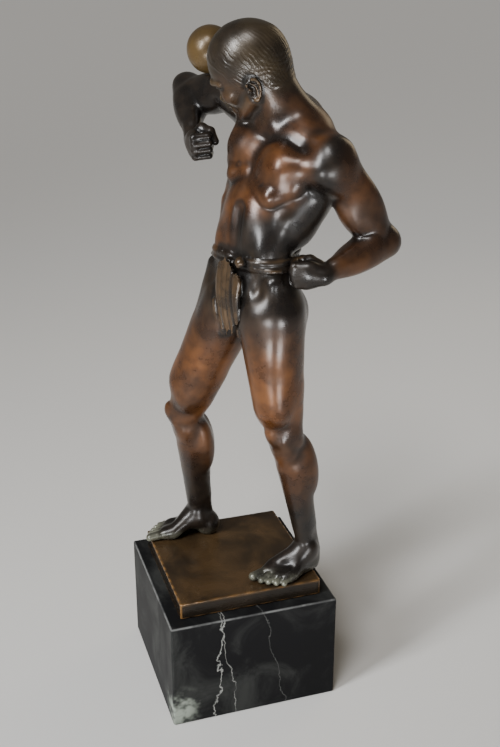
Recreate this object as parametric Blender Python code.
"""Bronze athlete with a ball on his raised arm, standing on a bronze plate and a marble block.

The origin is the middle of the block's underside. The athlete faces -Y and his right hand is at -X.
The figure is a free form: its pose and its carving are given as shares of its own height.
"""

import math

import bmesh
import bpy
import numpy as np
from mathutils import Vector

# Driving sizes in metres
BLOCK_SIDE = 0.118
BLOCK_HEIGHT = 0.079
BLOCK_BEVEL = 0.0012
PLATE_SIDE = 0.100
PLATE_THICKNESS = 0.012
PLATE_BEVEL = 0.0008
FIGURE_HEIGHT = 0.385
BALL_DIAMETER = 0.031
BALL_SEAT_DEPTH = 0.0012
FIT_GAP = 0.0003

# The figure stretched out straight is this many parts tall, and every number of its body is in parts
PARTS = 385.0
SCALE = FIGURE_HEIGHT / PARTS
MESH_STEP = 1.9
FIGURE_TRIANGLES = 8400

# Body joints in parts, from the middle of the plate's top
PELVIS = (21.0, 10.0, 196.0)
CHEST = (12.3, 34.0, 297.0)
HEAD = (2.5, 12.4, 341.8)
HEAD_SIZE = 1.08
HIP = {1: (39.0, 17.0, 195.0), -1: (4.0, 3.0, 194.0)}
KNEE = {1: (39.4, 24.6, 112.0), -1: (-20.4, -26.4, 107.4)}
ANKLE = {1: (33.0, 45.5, 16.0), -1: (-36.5, -14.0, 16.0)}
HEEL = {1: (30.0, 47.5, 0.0), -1: (-35.5, -7.0, 0.0)}
BIG_TOE = {1: (37.5, 5.0, 0.0), -1: (-34.0, -51.0, 0.0)}
LITTLE_TOE = {1: (51.0, 23.0, 0.0), -1: (-51.0, -40.0, 0.0)}
SHOULDER = {1: (50.0, 48.0, 289.0), -1: (-24.0, 22.0, 315.0)}
ELBOW = {1: (43.5, 88.5, 234.6), -1: (-92.0, -1.2, 315.0)}
WRIST = {1: (59.5, 41.0, 222.5), -1: (-40.2, -10.4, 288.8)}
FIST_AIM = {1: (-0.5, -0.85, 0.05), -1: (1.0, -0.06, -0.03)}
THUMB_AIM = {1: (0.15, 0.0, 1.0), -1: (0.02, -0.10, 0.98)}
FACE_AIM = (-0.578, -0.697, -0.424)
HEAD_LEFT = (0.815, -0.521, -0.253)
CHEST_LEFT = (0.91, 0.36, -0.20)
PELVIS_LEFT = (0.93, 0.37, 0.02)
ARM_GIRTH = {1: 1.14, -1: 1.08}
FIST_SIZE = {1: 0.95, -1: 1.0}
BALL_FROM_ELBOW = 0.0295


def v(*numbers):
    return np.array(numbers, float)


def unit(a):
    return a / np.linalg.norm(a)


def cleared(a, axis):
    """Direction a with its share along axis taken out."""
    return unit(a - (a @ axis) * axis)


class Frame:
    """A place on the body with its own side, front and up directions."""

    def __init__(self, origin, side, up):
        self.o = v(*origin)
        self.u = unit(v(*up))
        self.l = cleared(v(*side), self.u)
        self.f = np.cross(self.l, self.u)

    def at(self, l, f, u):
        return self.o + l * self.l + f * self.f + u * self.u

    def axes(self):
        return np.array([self.l, self.f, self.u])

    def local(self, p):
        return (p - self.o) @ self.axes().T


class Limb:
    """A stretch between two joints: t runs along it, f is its front, s its inner side."""

    def __init__(self, a, b, front, hand):
        self.a = v(*a)
        self.b = v(*b)
        self.u = unit(self.b - self.a)
        self.f = cleared(v(*front), self.u)
        self.s = np.cross(self.u, self.f) * hand

    def at(self, t, f, s):
        return self.a + t * (self.b - self.a) + f * self.f + s * self.s

    def axes(self):
        return np.array([self.s, self.f, self.u])


class Body:
    """Rounded forms joined by soft blends into one skin."""

    def __init__(self):
        self.forms = []

    def bone(self, a, b, ra, rb, blend, add=1):
        self.forms.append(("bone", a, b, ra, rb, blend, add))

    def chain(self, points, radii, blend, add=1):
        for n in range(len(points) - 1):
            self.bone(points[n], points[n + 1], radii[n], radii[n + 1], blend, add)

    def egg(self, c, axes, radii, blend, add=1):
        self.forms.append(("egg", c, axes, v(*radii), max(radii), blend, add))

    def grow(self, first, centre, k):
        """Make the forms from number first on k times as large about a centre."""
        for n in range(first, len(self.forms)):
            kind, a, b, c, e, blend, add = self.forms[n]
            a = centre + (a - centre) * k
            if kind == "bone":
                b = centre + (b - centre) * k
            self.forms[n] = (kind, a, b, c * k, e * k, blend * k, add)

    def shape(self, rule, c, reach, seeds):
        self.forms.append(("rule", c, rule, seeds, reach, 0.0, 1))


def bone_distance(p, a, b, ra, rb):
    ba = b - a
    t = np.clip((p - a) @ ba / (ba @ ba), 0.0, 1.0)
    return np.linalg.norm(p - a - t[:, None] * ba, axis=1) - (ra + t * (rb - ra))


def egg_distance(p, c, axes, radii):
    q = (p - c) @ axes.T / radii
    k0 = np.linalg.norm(q, axis=1)
    k1 = np.linalg.norm(q / radii, axis=1)
    return k0 * (k0 - 1.0) / np.maximum(k1, 1e-9)


def blended(a, b, k):
    """The smaller of two distances, with a soft seam k wide."""
    h = np.maximum(k - np.abs(a - b), 0.0) / k
    return np.minimum(a, b) - h * h * k * 0.25


def field(body, p):
    """Distance of points p to the body's skin, in parts."""
    d = np.full(len(p), 60.0)
    for kind, a, b, c, e, k, add in body.forms:
        middle = (a + b) / 2 if kind == "bone" else a
        reach = np.linalg.norm(b - a) / 2 + max(c, e) if kind == "bone" else e
        offset = p - middle
        near = np.nonzero(np.einsum("ij,ij->i", offset, offset) < (reach + k + 9.0) ** 2)[0]
        if len(near) == 0:
            continue
        q = p[near]
        if kind == "bone":
            form = bone_distance(q, a, b, c, e)
        elif kind == "egg":
            form = egg_distance(q, a, b, c)
        else:
            d[near] = b(q, d[near])
            continue
        if add > 0:
            d[near] = blended(d[near], form, k)
        else:
            d[near] = -blended(-d[near], form, k)
    return np.maximum(d, -p[:, 2])


def slope(body, p, d, h=0.05):
    g = np.stack([field(body, p + h * axis) - d for axis in np.eye(3)], axis=1) / h
    return g / np.maximum(np.linalg.norm(g, axis=1), 0.2)[:, None]


def settle(body, p, rounds):
    """Move points onto the skin along its slope."""
    for _ in range(rounds):
        d = field(body, p)
        p = p - np.clip(d, -2.5, 2.5)[:, None] * slope(body, p, d)
    return p


def add_trunk(body):
    chest = Frame(CHEST, CHEST_LEFT, v(*CHEST) - v(*PELVIS) + v(0, 4, 0))
    hips = Frame(PELVIS, PELVIS_LEFT, (0.0, 0.0, 1.0))
    body.egg(chest.at(0, 4, -33), chest.axes(), (31, 16.8, 37), 1)
    body.egg(chest.at(0, -2, -9), chest.axes(), (36, 15, 15), 12)
    body.egg(hips.at(0, 0, 42), hips.axes(), (24.5, 15.5, 36), 10)
    body.egg(hips.at(0, -1, 6), hips.axes(), (28.5, 17.8, 23), 10)
    body.egg(hips.at(0, 7.5, 14), hips.axes(), (17.5, 10.4, 20), 8)
    for side in (1, -1):
        lifted = 7 if side < 0 else 0
        body.egg(chest.at(side * 25, -4, -36), chest.axes(), (10.5, 15, 27), 10)
        body.egg(chest.at(side * 20, -16, -19 + lifted / 2), chest.axes(), (17, 9, 22), 8)
        body.bone(chest.at(side * 9, -15, -30), hips.at(side * 8, -14, 14), 8, 7.5, 8)
        body.egg(hips.at(side * 18.5, 1.5, 34), hips.axes(), (9.2, 11.6, 17), 9)
        body.egg(hips.at(side * 22.5, -2, 13), hips.axes(), (9.6, 12.6, 15), 9)
        body.egg(hips.at(side * 15, -14.5, -4), hips.axes(), (15.5, 14, 18), 7)
        arm = v(*SHOULDER[side])
        body.bone(chest.at(side * 5, -9, 14 + lifted / 2), arm + v(0, 2, 6), 11, 8, 10)
        body.egg(chest.at(side * 15, 5, 6), chest.axes(), (14, 9.5, 9), 9)
        for row, height in enumerate((-46, -53, -60)):
            rib = chest.at(side * (25.0 - row * 1.4), 11.5 - row * 1.0, height)
            body.bone(rib, rib - chest.f * 13 + chest.u * 7, 3.4, 4.2, 6)
        arch = [(5, 14.5, -49), (14, 11.8, -58), (24, 5.5, -69)]
        arch = [chest.at(side * l, f, u) for l, f, u in arch]
        body.chain(arch, (4.2, 4.6, 4.8), 4)
        back_fold = chest.at(side * 27, -6, -36)
        body.bone(back_fold, arm - chest.u * 9 - chest.f * 3, 8, 7, 9)
        full = 1.0 if side > 0 else 0.82
        pec = chest.at(side * 14.6, 10 + 5.4 * full, -20 + lifted)
        body.egg(pec, chest.axes(), (16.0, 10.6 * full, 18.0 - lifted / 3), 5)
        rim = [(5.5, 18.3, -31.5), (17, 18.0, -35.0), (26, 11.8, -26.5), (33, 6, -15)]
        rim = [chest.at(side * l, f - 2 + 2 * full, u + lifted) for l, f, u in rim]
        body.chain(rim, (6.0 * full, 7.0 * full, 7.0 * full, 6.5), 2.5)
        inset = 6 if side < 0 else 0
        armpit = arm + chest.f * (5 - inset / 2) - chest.u * (5 - inset) - chest.l * side * inset
        body.bone(pec + chest.u * 4 + chest.l * side * 6, armpit, 10.2 * full, 8 - inset / 4, 6)
        body.bone(chest.at(side * 5, 15, 3), arm + chest.f * 6 + chest.u * 7, 2.4, 2.4, 8)
        nipple = pec - chest.u * 9 - chest.l * side * 2 + chest.f * 9.2 * full
        body.egg(nipple, chest.axes(), (1.2, 1.0, 1.2), 1.0)
    low = hips.at(0, 10.5, 18)
    belly = Frame(low, PELVIS_LEFT, chest.at(0, 17, -40) - low)
    for height, size, wide in ((1, 13, 10.5), (14, 8.5, 9.8), (25, 7.5, 8.6), (35, 7.5, 7.0)):
        for side in (1, -1):
            middle = belly.at(0.8 + side * wide * 0.88, 0.2, height)
            body.egg(middle, belly.axes(), (wide, 6.8, size), 3.0)
    body.bone(chest.at(0, 31.5, -4), chest.at(0, 30.0, -34), 2.4, 2.8, 8, -1)
    body.bone(belly.at(0.8, 10.4, 4), belly.at(0.8, 10.6, 44), 2.6, 2.8, 5, -1)
    body.egg(belly.at(0.8, 6.6, 9), belly.axes(), (1.3, 1.8, 1.7), 1.2, -1)
    body.bone(chest.at(0, -28, 6), hips.at(0, -25.5, 8), 4.0, 4.5, 8, -1)
    body.bone(hips.at(0, -31, 6), hips.at(0, -31, -22), 4.0, 6.0, 5, -1)
    return chest, hips


def add_leg(body, hips, side):
    hip, knee, ankle = v(*HIP[side]), v(*KNEE[side]), v(*ANKLE[side])
    toes = (v(*BIG_TOE[side]) + v(*LITTLE_TOE[side])) / 2
    aim = unit(toes - v(*HEEL[side]))
    thigh = Limb(hip, knee, aim * 0.6 + v(0.2, -0.6, 0), side)
    body.bone(thigh.at(-0.03, -0.5, 0), thigh.at(1, -0.5, 0), 18.5, 9.6, 6)
    body.bone(thigh.at(0.02, 6.5, 1), thigh.at(0.74, 8.4, 0), 13.5, 9.6, 10)
    body.bone(thigh.at(0.12, 4.5, 6), thigh.at(0.80, 3.8, 4.5), 12, 8.0, 10)
    body.bone(thigh.at(0.74, 6.6, -1), thigh.at(0.97, 7.6, -0.5), 5.6, 4.4, 6)
    body.bone(thigh.at(0.30, 6, -5), thigh.at(0.72, 6, -5.5), 9.5, 8.8, 10)
    body.egg(thigh.at(0.66, 7.6, -6.0), thigh.axes(), (8.0, 8.2, 17), 5)
    body.egg(thigh.at(0.80, 5.6, 6.2), thigh.axes(), (7.0, 7.4, 12), 4)
    body.bone(thigh.at(0.02, 0, -8.5), thigh.at(0.6, -1, -4), 12.0, 8.0, 10)
    body.bone(thigh.at(0.1, -4, 1), thigh.at(0.8, -3.5, 1), 12.6, 8.0, 10)
    body.bone(thigh.at(0.6, -4.5, 4.5), thigh.at(1.05, -6, 5.5), 6.5, 3.6, 8)
    body.bone(thigh.at(0.6, -4.5, -4.5), thigh.at(1.08, -6, -6.2), 6.2, 3.6, 8)
    body.bone(hips.at(side * 28.5, 7, 21), thigh.at(0.34, 7.5, -8), 5.6, 7.0, 5)
    body.egg(hips.at(side * 23.0, 18.5, 17), hips.axes(), (2.6, 3.6, 4.4), 4, -1)
    shank = Limb(knee, ankle, aim, side)
    body.egg(shank.at(-0.02, -0.8, 0), shank.axes(), (9.6, 8.8, 10), 4)
    body.egg(shank.at(-0.03, 9.0, 0), shank.axes(), (5.4, 4.4, 7.0), 1.4)
    body.bone(shank.at(0.03, 6.5, -5.5), shank.at(0.14, 3.0, -5.0), 3.0, 3.4, 4)
    body.bone(shank.at(0.03, 6.5, 5.5), shank.at(0.14, 3.0, 5.0), 3.0, 3.4, 4)
    body.bone(shank.at(0.04, 7.8, 0), shank.at(0.16, 4.6, 0), 2.8, 3.2, 4)
    body.bone(shank.at(0.02, -1.4, 0), shank.at(0.97, -0.5, 0), 8.6, 5.8, 6)
    body.bone(shank.at(0.13, 2.4, -0.8), shank.at(0.93, 0.8, -0.5), 4.6, 4.4, 5)
    body.egg(shank.at(0.31, -10.2, -4.4), shank.axes(), (7.8, 8.6, 24), 5)
    body.egg(shank.at(0.29, -9.8, 4.4), shank.axes(), (7.2, 8.2, 22), 5)
    body.bone(shank.at(0.3, -5, 0), shank.at(0.80, -4.8, 0), 10.0, 5.0, 6)
    body.bone(shank.at(0.12, 0, 6), shank.at(0.80, -1.5, 2.5), 5.4, 3.8, 5)
    body.bone(shank.at(0.6, -6.4, 0), shank.at(1.05, -8.6, 0), 4.6, 2.8, 5)
    body.egg(shank.at(0.97, -0.3, -6.2), shank.axes(), (2.7, 3.6, 4.0), 2.5)
    body.egg(shank.at(1.02, -1.2, 6.2), shank.axes(), (2.6, 3.2, 4.0), 2.5)
    add_foot(body, side, ankle, aim)


def add_foot(body, side, ankle, aim):
    heel = v(*HEEL[side])
    up = v(0, 0, 1)
    out = np.cross(up, aim) * side
    out = out if out @ (v(*LITTLE_TOE[side]) - v(*BIG_TOE[side])) > 0 else -out
    axes = np.array([out, aim, up])
    big, little = v(*BIG_TOE[side]), v(*LITTLE_TOE[side])
    big_ball = heel + 0.70 * (big - heel) - out * 0.5
    little_ball = heel + 0.74 * (little - heel) - out * 0.5
    body.egg(heel + up * 6.5, axes, (8.2, 8.6, 9), 4)
    body.bone(ankle - up * 1, heel + up * 8 - aim * 1, 7.2, 6.5, 5)
    body.bone(ankle + aim * 2, big_ball + up * 6 - aim * 5, 7.0, 5.4, 6)
    body.bone(ankle + aim * 3 - up * 3, little_ball + up * 4.5 - aim * 3, 6.6, 4.0, 6)
    body.bone(heel + out * 4 + up * 3.4, little_ball + up * 3.2, 4.4, 3.4, 4)
    body.egg(big_ball + up * 4.6, axes, (4.8, 6.5, 4.6), 3)
    body.egg((big_ball + little_ball) / 2 + up * 4, axes, (9.5, 7, 4.2), 4)
    body.egg(little_ball + up * 3.6, axes, (3.6, 5, 3.6), 3)
    for n in range(5):
        share = (0.0, 0.32, 0.56, 0.79, 1.0)[n]
        thick = (3.4, 2.5, 2.4, 2.3, 2.3)[n]
        tip = big + (little - big) * share + aim * (0.0, 1.6, 1.8, 1.2, 0.0)[n]
        root = big_ball + (little_ball - big_ball) * share
        knuckle = root + (tip - root) * 0.55
        lift = thick + (0.3 if n == 0 else 1.5)
        body.bone(root + up * 4, knuckle + up * lift, thick + 0.3, thick * 0.94, 0.9)
        body.bone(knuckle + up * lift, tip + up * (thick - 0.3), thick * 0.94, thick * 0.92, 0.7)


def add_arm(body, side):
    shoulder, elbow, wrist = v(*SHOULDER[side]), v(*ELBOW[side]), v(*WRIST[side])
    fold = unit(wrist - elbow)
    upper = Limb(shoulder, elbow, fold, side)
    g = ARM_GIRTH[side]
    body.bone(upper.at(0, 0, 1), upper.at(1, -1, 0), 9.0 * g, 7.4 * g, 6)
    body.egg(upper.at(0.06, 0, -0.5), upper.axes(), (12 * g, 12.5 * g, 16), 9)
    for front in (-7, 0, 7):
        out = 2 if front else 4.6
        body.bone(upper.at(0, front, -out), upper.at(0.45, front * 0.3, -5.0), 7.4 * g, 4.0 * g, 4)
    body.egg(upper.at(0.56, 5.8, 0.6), upper.axes(), (8.0 * g, 8.4 * g, 21), 4)
    body.egg(upper.at(0.68, 0.8, -4.2), upper.axes(), (5.4 * g, 5.8 * g, 17), 4)
    body.egg(upper.at(0.44, -5.3, -3.4), upper.axes(), (7.4 * g, 7.4 * g, 25), 4)
    body.egg(upper.at(0.46, -4.8, 3.4), upper.axes(), (7.0 * g, 7.0 * g, 24), 5)
    body.bone(upper.at(0.62, -4, 0), upper.at(0.96, -4.6, 0), 5.6, 4.0, 5)
    body.egg(upper.at(0.99, -4.8, 0), upper.axes(), (4.4, 3.8, 4.8), 3)
    body.egg(upper.at(0.97, -0.3, 0), upper.axes(), (9.4, 7.4, 8.0), 5)
    fore = Limb(elbow, wrist, -upper.u, side)
    body.bone(fore.at(-0.02, 0, 0), fore.at(1.0, 0, 0), 7.8 * g, 5.4 * g, 5)
    ridge = [upper.at(0.80, 2.0, -4.6), fore.at(0.26, 4.2, -3.4), fore.at(0.78, 2.4, -1.8)]
    body.chain(ridge, (4.4, 6.2 * g, 4.4 * g), 3.5)
    body.egg(fore.at(0.32, -0.8, -4.0), fore.axes(), (6.0 * g, 6.6 * g, 21), 4)
    body.egg(fore.at(0.30, 2.0, 3.6), fore.axes(), (6.4 * g, 7.2 * g, 22), 5)
    body.egg(fore.at(0.36, -3.6, 0), fore.axes(), (6.4 * g, 5.4 * g, 22), 4)
    add_fist(body, side)


def add_fist(body, side):
    """A closed hand: x runs from the wrist to the knuckles, y to the back of the hand, z to the thumb."""
    x = unit(v(*FIST_AIM[side]))
    z = cleared(v(*THUMB_AIM[side]), x)
    y = np.cross(z, x) * side
    axes = np.array([x, y, z])
    wrist = v(*WRIST[side])

    def at(*place):
        return wrist + v(*place) @ axes * FIST_SIZE[side]

    body.bone(at(-2, 0, 0), at(6, 0.2, 0), 5.2, 5.6, 3)
    body.egg(at(8.6, 1.0, 0), axes, (9.2, 6.0, 9.4), 3)
    for n in range(4):
        high = 5.6 - 4.3 * n
        thick = (2.7, 2.75, 2.6, 2.35)[n]
        far = (18.6, 19.2, 18.2, 16.6)[n]
        body.bone(at(10, 2.2, high * 0.85), at(far - 1.4, 2.8, high), 2.6, thick, 3)
        body.bone(at(far - 1.4, 3.0, high), at(far, -6.0, high), thick, thick * 0.95, 0.5)
        body.bone(at(far, -6.0, high), at(far - 7.5, -8.4, high), thick * 0.95, thick * 0.9, 0.5)
        body.bone(at(far - 7.5, -8.4, high), at(far - 8.5, -4.5, high), thick * 0.9, 2.2, 0.5)
    tuck = 2.6 if side > 0 else 0.0
    thumb = [at(3, -2.0 - tuck, 4.6), at(9.0, -4.5 - tuck, 8.8 - tuck)]
    thumb += [at(14.5, -8.5 - tuck / 2, 7.2 - tuck), at(17.5, -10.4, 1.5)]
    body.chain(thumb, (4.0, 3.7, 3.3, 2.8), 1.4)


def add_head(body, chest):
    head = Frame(HEAD, HEAD_LEFT, np.cross(v(*FACE_AIM), v(*HEAD_LEFT)))
    axes = head.axes()
    nape = head.at(0, -9, -12)
    body.bone(chest.at(0, -3, 4), nape, 15.5, 13.0, 8)
    body.bone(chest.at(0, 5, 4), head.at(0, 2, -14), 10.5, 9.5, 6)
    for side in (1, -1):
        body.bone(chest.at(side * 5, 11, 2), head.at(side * 12, -6, -12), 2.2, 3.0, 8)
        body.bone(chest.at(side * 14, -5, 8), head.at(side * 8, -10, -10), 10.5, 8.0, 9)
    first = len(body.forms)
    body.egg(head.at(0, -1, 0.5), axes, (18.6, 23.6, 22.3), 5)
    body.egg(head.at(0, 9, -9.5), axes, (14.2, 12.2, 17), 4)
    for side in (1, -1):
        body.egg(head.at(side * 11.0, 13.8, -10.6), axes, (4.6, 4.6, 4.2), 4)
        body.bone(head.at(side * 13.0, 2, -17), head.at(side * 5.0, 14.8, -25.6), 4.2, 3.8, 4)
        body.egg(head.at(side * 7.4, 22.4, -5.4), axes, (4.6, 3.9, 3.1), 2.2, -1)
        body.chain(
            [head.at(side * l, f, u) for l, f, u in ((2.4, 20.6, -2.2), (7.6, 20.4, -0.8), (13, 15.6, -2.2))],
            (1.7, 1.9, 1.6), 2.0)
    bridge = [head.at(0, 19.3, -3.6), head.at(0, 21.2, -8.4), head.at(0, 23.2, -12.4)]
    body.chain(bridge, (1.8, 1.75, 2.1), 1.6)
    body.egg(head.at(0, 16.4, -19.6), axes, (7.6, 5.4, 6.0), 3)
    body.egg(head.at(0, 17.4, -26.2), axes, (5.2, 4.4, 3.8), 3)
    for side in (1, -1):
        body.egg(head.at(side * 7.2, 16.4, -5.6), axes, (3.7, 3.7, 3.4), 0.6)
        body.egg(head.at(side * 2.7, 21.5, -13.6), axes, (1.9, 2.3, 1.7), 1)
        outward = side * head.l * 0.93 - head.f * 0.34
        ear = Frame(head.at(side * 17.0, -2.6, -11.2), outward, head.u - head.f * 0.16)
        body.egg(ear.at(1.2, 0, 0.2), ear.axes(), (2.0, 4.4, 6.8), 1)
        body.egg(ear.at(3.2, 0.5 * side, 0.2), ear.axes(), (1.8, 2.5, 4.4), 0.8, -1)
    body.egg(head.at(0, 20.8, -18.3), axes, (4.6, 1.5, 1.2), 0.8)
    body.egg(head.at(0, 20.4, -20.9), axes, (4.2, 1.5, 1.4), 0.8)
    body.grow(first, head.o, HEAD_SIZE)
    return head


def add_cloth(body, hips):
    """A twisted belt round the hips, with a folded cloth and a knotted tail hanging from it."""
    belt = 31.0

    def twist(p, skin):
        l, f, u = hips.local(p).T
        swell = 0.0
        for offset in (2.2, -1.8):
            level = (u - belt - offset) / 2.1
            swell = np.maximum(swell, 1.7 * np.sqrt(np.maximum(1.0 - level * level, 0.0)))
        return skin - swell

    def panel(p, left, right, top, foot, front, folds, drift, narrowing):
        l, f, u = hips.local(p).T
        down = np.clip((top - u) / (top - foot), 0, 1)
        middle = (left + right) / 2 + drift * down
        half = (right - left) / 2 * (1 - narrowing * down)
        swell = 3.0 * np.sin(math.pi * np.clip(down * 1.1, 0, 1)) - 1.0 * down
        wave = (l - middle) * 2 * math.pi / 5.2 + 0.8 * np.sin(u * 0.09)
        ridge = folds * (0.35 + 0.65 * down) * (np.cos(wave) + 0.25 * np.cos(2.3 * wave + 1.0))
        drop = np.abs(f - (front + swell + ridge)) - 1.3
        wide = np.abs(l - middle) - half
        tall = np.maximum(u - top, foot - u)
        far = np.stack([drop, wide, tall], axis=1)
        return np.linalg.norm(np.maximum(far, 0), axis=1) + np.minimum(far.max(axis=1), 0) - 0.5

    def apron(p, skin):
        return blended(skin, panel(p, -13.5, 11.5, 36.0, -20.0, 18.5, 0.9, -1.0, 0.08), 1.0)

    def tail(p, skin):
        return blended(skin, panel(p, 8.0, 15.0, 30.0, -12.0, 19.8, 0.3, -2.0, 0.8), 0.6)

    body.shape(twist, hips.at(0, 0, belt), 36, [])
    body.shape(apron, hips.at(-1, 19, 8), 33, [(hips.at(-1, 20.5, 8), (13, 1.8, 28))])
    body.shape(tail, hips.at(11, 22, 8), 24, [(hips.at(11, 22, 10), (3.5, 1.5, 20))])
    body.egg(hips.at(11.8, 20.0, 33.0), hips.axes(), (3.4, 3.2, 3.4), 0.8)


def ball_centre():
    a, b = v(*ELBOW[-1]), v(*SHOULDER[-1])
    lift = 13.2 * SCALE + BALL_DIAMETER / 2 - BALL_SEAT_DEPTH
    return a * SCALE + unit(b - a) * BALL_FROM_ELBOW + v(0, 0, lift + figure_floor())


def figure_floor():
    return BLOCK_HEIGHT + FIT_GAP + PLATE_THICKNESS + FIT_GAP


def build_body():
    body = Body()
    chest, hips = add_trunk(body)
    for side in (1, -1):
        add_leg(body, hips, side)
    add_cloth(body, hips)
    for side in (1, -1):
        add_arm(body, side)
    add_head(body, chest)
    seat = (ball_centre() - v(0, 0, figure_floor())) / SCALE
    radius = (BALL_DIAMETER / 2 + FIT_GAP) / SCALE
    body.egg(seat, np.eye(3), (radius, radius, radius), 0.2, -1)
    return body


def seed_mesh(body):
    """One convex hull for each form, overlapping, ready to be melted into one skin."""
    ball = bmesh.new()
    bmesh.ops.create_icosphere(ball, subdivisions=2, radius=1.0)
    sphere = np.array([vert.co[:] for vert in ball.verts])
    ball.free()
    hips = Frame(PELVIS, PELVIS_LEFT, (0.0, 0.0, 1.0))
    seeds = bpy.data.meshes.new("seeds")
    whole = bmesh.new()
    for kind, a, b, c, e, k, add in body.forms:
        if add < 0:
            continue
        if kind == "bone":
            groups = [np.concatenate([sphere * c + a, sphere * e + b])]
        elif kind == "egg":
            groups = [(sphere * c) @ b + a]
        else:
            groups = [(sphere * v(*size)) @ hips.axes() + middle for middle, size in c]
        for points in groups:
            lump = bmesh.new()
            for point in points:
                lump.verts.new(point)
            hull = bmesh.ops.convex_hull(lump, input=lump.verts)
            inner = [g for g in hull["geom_interior"] if isinstance(g, bmesh.types.BMVert)]
            bmesh.ops.delete(lump, geom=inner, context="VERTS")
            lump.to_mesh(seeds)
            lump.free()
            whole.from_mesh(seeds)
    return whole


def new_object(name, mesh, material, location=(0.0, 0.0, 0.0)):
    obj = bpy.data.objects.new(name, mesh)
    obj.location = location
    mesh.materials.append(material)
    bpy.context.scene.collection.objects.link(obj)
    return obj


def new_material(name, colour, metallic, roughness):
    material = bpy.data.materials.new(name)
    material.use_nodes = True
    shader = material.node_tree.nodes["Principled BSDF"]
    shader.inputs["Base Color"].default_value = (*colour, 1.0)
    shader.inputs["Metallic"].default_value = metallic
    shader.inputs["Roughness"].default_value = roughness
    return material


def evaluated(obj):
    """The object's mesh with its modifiers made real."""
    return bpy.data.meshes.new_from_object(obj.evaluated_get(bpy.context.evaluated_depsgraph_get()))


def make_figure(material):
    body = build_body()
    bm = seed_mesh(body)
    mesh = bpy.data.meshes.new("athlete_skin")
    bm.to_mesh(mesh)
    bm.free()
    skin = bpy.data.objects.new("athlete_skin", mesh)
    bpy.context.scene.collection.objects.link(skin)
    remesh = skin.modifiers.new("melt", "REMESH")
    remesh.mode = "VOXEL"
    remesh.voxel_size = MESH_STEP
    melted = evaluated(skin)
    bpy.data.objects.remove(skin)

    points = np.empty(len(melted.vertices) * 3)
    melted.vertices.foreach_get("co", points)
    points = settle(body, points.reshape(-1, 3), 3)
    melted.vertices.foreach_set("co", points.ravel())
    bm = bmesh.new()
    bm.from_mesh(melted)
    for _ in range(2):
        bmesh.ops.smooth_vert(
            bm, verts=bm.verts, factor=0.5, use_axis_x=True, use_axis_y=True, use_axis_z=True)
    bm.to_mesh(melted)
    bm.free()
    points = points.ravel()
    melted.vertices.foreach_get("co", points)
    points = settle(body, points.reshape(-1, 3), 3)
    melted.vertices.foreach_set("co", (points * SCALE).ravel())

    figure = new_object("athlete_figure", melted, material, (0, 0, figure_floor()))
    triangles = figure.modifiers.new("triangles", "TRIANGULATE")
    triangles.min_vertices = 4
    thin = figure.modifiers.new("thin", "DECIMATE")
    thin.ratio = FIGURE_TRIANGLES / (2.0 * len(melted.polygons))
    melted.shade_smooth()
    return figure


def slab(name, side, height, bevel, material, bottom):
    bm = bmesh.new()
    bmesh.ops.create_cube(bm, size=1.0)
    for vert in bm.verts:
        vert.co = Vector((vert.co.x * side, vert.co.y * side, vert.co.z * height))
    mesh = bpy.data.meshes.new(name)
    bm.to_mesh(mesh)
    bm.free()
    obj = new_object(name, mesh, material, (0, 0, bottom + height / 2))
    edge = obj.modifiers.new("worn edges", "BEVEL")
    edge.width = bevel
    edge.segments = 2
    return obj


def make_ball(material):
    bm = bmesh.new()
    bmesh.ops.create_icosphere(bm, subdivisions=3, radius=BALL_DIAMETER / 2)
    mesh = bpy.data.meshes.new("ball")
    bm.to_mesh(mesh)
    bm.free()
    mesh.shade_smooth()
    return new_object("ball", mesh, material, ball_centre())


def main():
    for obj in list(bpy.data.objects):
        bpy.data.objects.remove(obj)
    skin = new_material("patinated_bronze", (0.055, 0.025, 0.012), 1.0, 0.28)
    ball = new_material("rubbed_bronze", (0.16, 0.085, 0.025), 1.0, 0.32)
    plate = new_material("plate_bronze", (0.10, 0.065, 0.028), 1.0, 0.25)
    marble = new_material("black_marble", (0.012, 0.012, 0.014), 0.0, 0.18)
    slab("marble_block", BLOCK_SIDE, BLOCK_HEIGHT, BLOCK_BEVEL, marble, 0.0)
    slab("bronze_plate", PLATE_SIDE, PLATE_THICKNESS, PLATE_BEVEL, plate, BLOCK_HEIGHT + FIT_GAP)
    make_figure(skin)
    make_ball(ball)


main()
